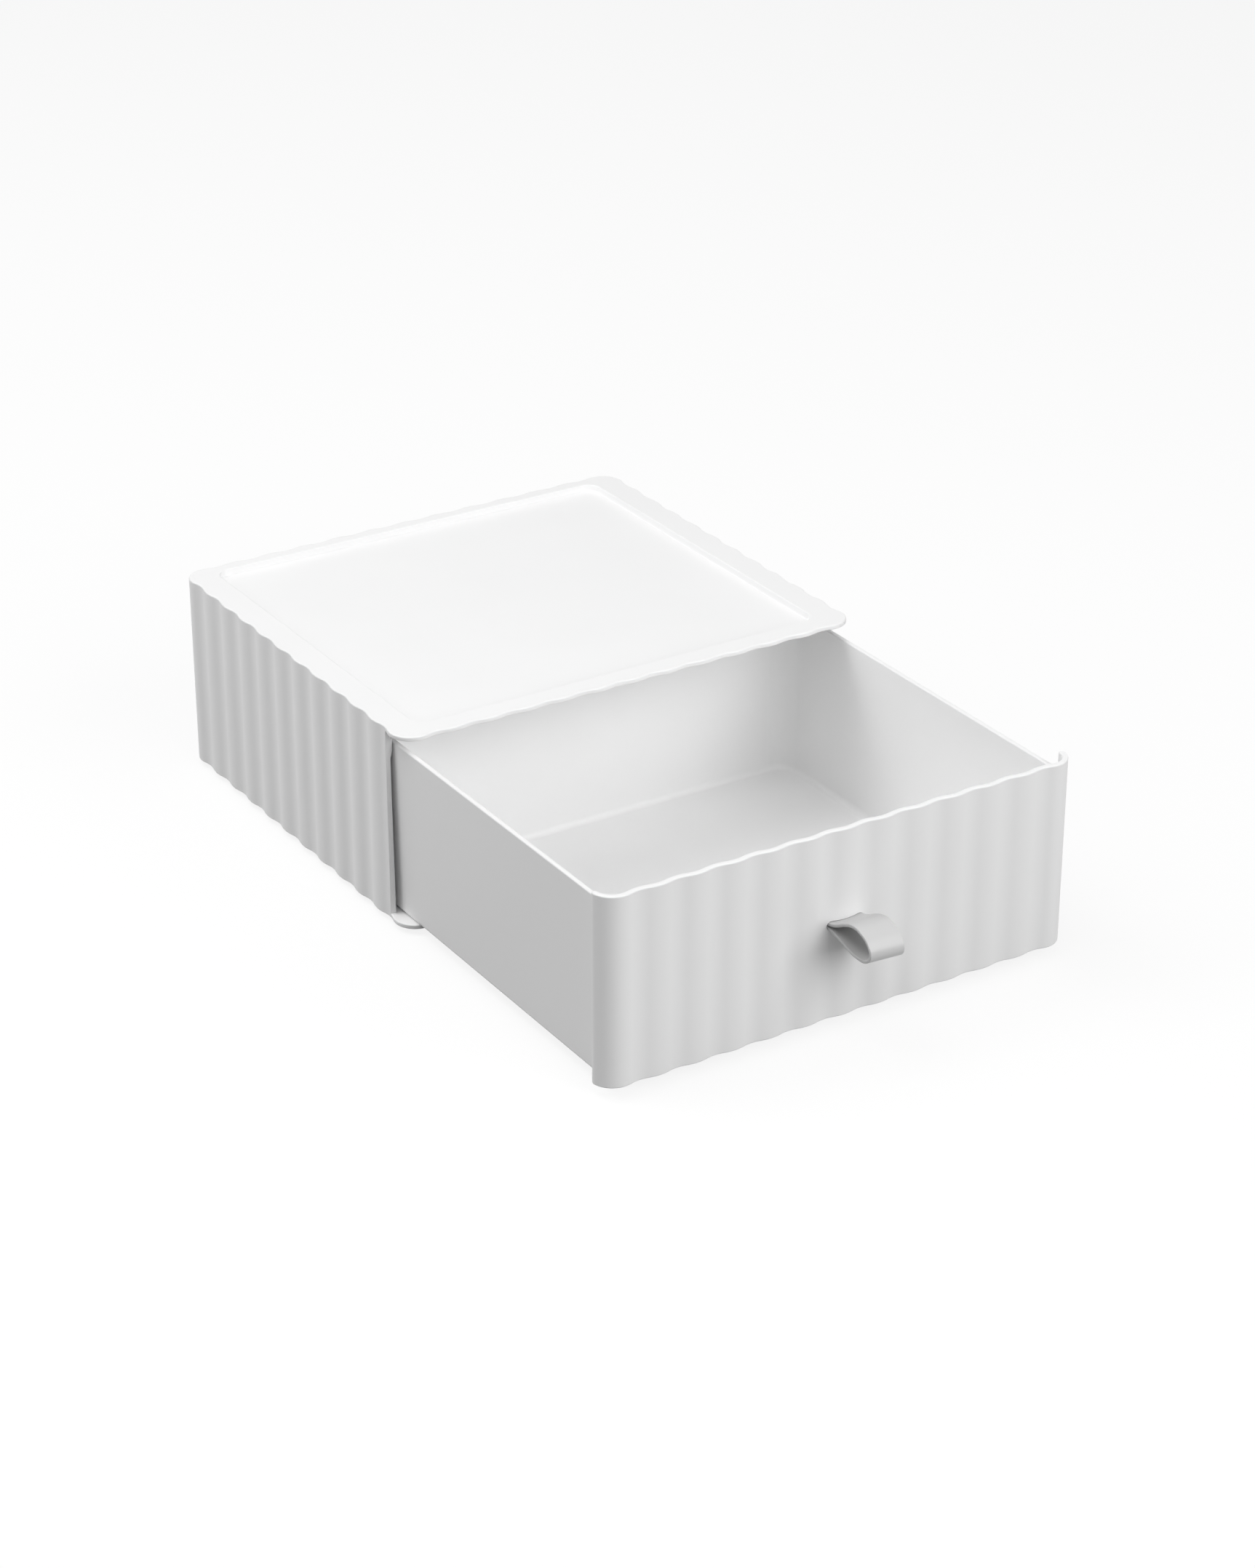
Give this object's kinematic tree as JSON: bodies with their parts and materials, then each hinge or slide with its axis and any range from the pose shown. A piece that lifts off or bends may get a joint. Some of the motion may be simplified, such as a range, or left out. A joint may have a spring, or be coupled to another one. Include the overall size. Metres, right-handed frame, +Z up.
{
  "type": "stackable drawer box",
  "caption": "Small stackable organiser: a fluted case, open at the front, with one sliding drawer and a soft pull loop.",
  "frame": {"origin": "centre of the underside of the case's stacking foot, under the middle of the case", "axes": "+Z up, -Y the way the drawer opens, +X to the right as seen from in front of the drawer"},
  "size_m": [0.1652, 0.2816, 0.0672],
  "materials": {
    "case_plastic": "satin moulded white",
    "drawer_plastic": "satin moulded white",
    "strap_vinyl": "smooth soft vinyl",
    "pin_plastic": "plain moulded white"
  },
  "bodies": {
    "case": {"case": "case_plastic"},
    "drawer": {"drawer": "drawer_plastic", "pull_strap": "strap_vinyl", "strap_pin": "pin_plastic"}
  },
  "joints": [
    {"name": "drawer_slide", "type": "slide", "parent": "case", "child": "drawer", "axis": [0, -1, 0], "range_m": [-0.1136, 0.018]}
  ]
}
